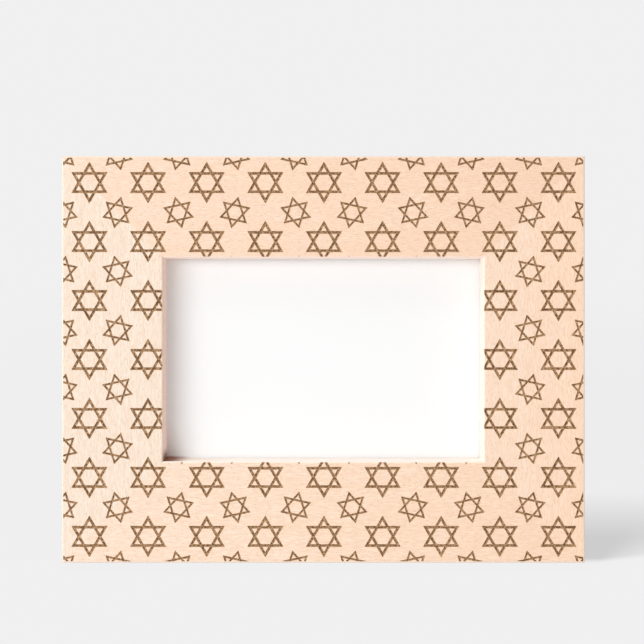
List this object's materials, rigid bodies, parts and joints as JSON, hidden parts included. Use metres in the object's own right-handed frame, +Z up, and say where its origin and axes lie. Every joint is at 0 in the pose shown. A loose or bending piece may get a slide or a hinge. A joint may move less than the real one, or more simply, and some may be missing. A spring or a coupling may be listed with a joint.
{
  "type": "picture frame",
  "caption": "Tabletop frame in mitred beech, its wide flat face etched with outlined six-pointed stars, with a clear pane, a blank white insert and a hinged easel leg.",
  "frame": {"origin": "middle of the object's box, on the surface it stands on", "axes": "+X to the viewer's right along the frame's width, +Y away from the viewer towards the easel leg, +Z up"},
  "size_m": [0.2286, 0.0744, 0.1774],
  "materials": {
    "beech": "sanded, oiled beech with burnt etched lines",
    "clear_pane": "clear acrylic sheet",
    "white_paper": "smooth matt card",
    "grey_card": "plain pulp board",
    "fibreboard": "raw fibreboard with cut edges",
    "black_velour": "flocked velour paper",
    "zinc_plate": "zinc plated",
    "bright_steel": "bright drawn",
    "brassed_steel": "brassed, satin"
  },
  "bodies": {
    "frame": {"top_rail": "beech", "bottom_rail": "beech", "left_stile": "beech", "right_stile": "beech", "corner_v_nails": "bright_steel", "glazing_pane": "clear_pane", "blank_insert": "white_paper", "filler_card": "grey_card", "backing_board": "fibreboard", "backing_velour": "black_velour", "hinge_board_leaf": "zinc_plate", "hinge_pin": "bright_steel", "hinge_board_rivets": "bright_steel", "turn_button_screws": "bright_steel", "hanger_landscape": "brassed_steel", "hanger_portrait": "brassed_steel", "hanger_nails": "bright_steel"},
    "leg": {"easel_leg": "fibreboard", "leg_velour": "black_velour", "hinge_leg_leaf": "zinc_plate", "hinge_leg_rivets": "bright_steel"},
    "button_left_upper": {"turn_button_left_upper": "zinc_plate"},
    "button_left_lower": {"turn_button_left_lower": "zinc_plate"},
    "button_right_upper": {"turn_button_right_upper": "zinc_plate"},
    "button_right_lower": {"turn_button_right_lower": "zinc_plate"}
  },
  "joints": [
    {"name": "leg_fold", "type": "hinge", "parent": "frame", "child": "leg", "pos_m": [0, 0.00997, 0.12098], "axis": [-1, 0, 0], "range_deg": [0, 24]},
    {"name": "turn_left_upper", "type": "hinge", "parent": "frame", "child": "button_left_upper", "pos_m": [-0.08395, 0.00914, 0.12322], "axis": [0, 0.9763, -0.2164], "continuous": true},
    {"name": "turn_left_lower", "type": "hinge", "parent": "frame", "child": "button_left_lower", "pos_m": [-0.08395, -0.00712, 0.0499], "axis": [0, 0.9763, -0.2164], "continuous": true},
    {"name": "turn_right_upper", "type": "hinge", "parent": "frame", "child": "button_right_upper", "pos_m": [0.08395, 0.00914, 0.12322], "axis": [0, 0.9763, -0.2164], "continuous": true},
    {"name": "turn_right_lower", "type": "hinge", "parent": "frame", "child": "button_right_lower", "pos_m": [0.08395, -0.00712, 0.0499], "axis": [0, 0.9763, -0.2164], "continuous": true}
  ]
}
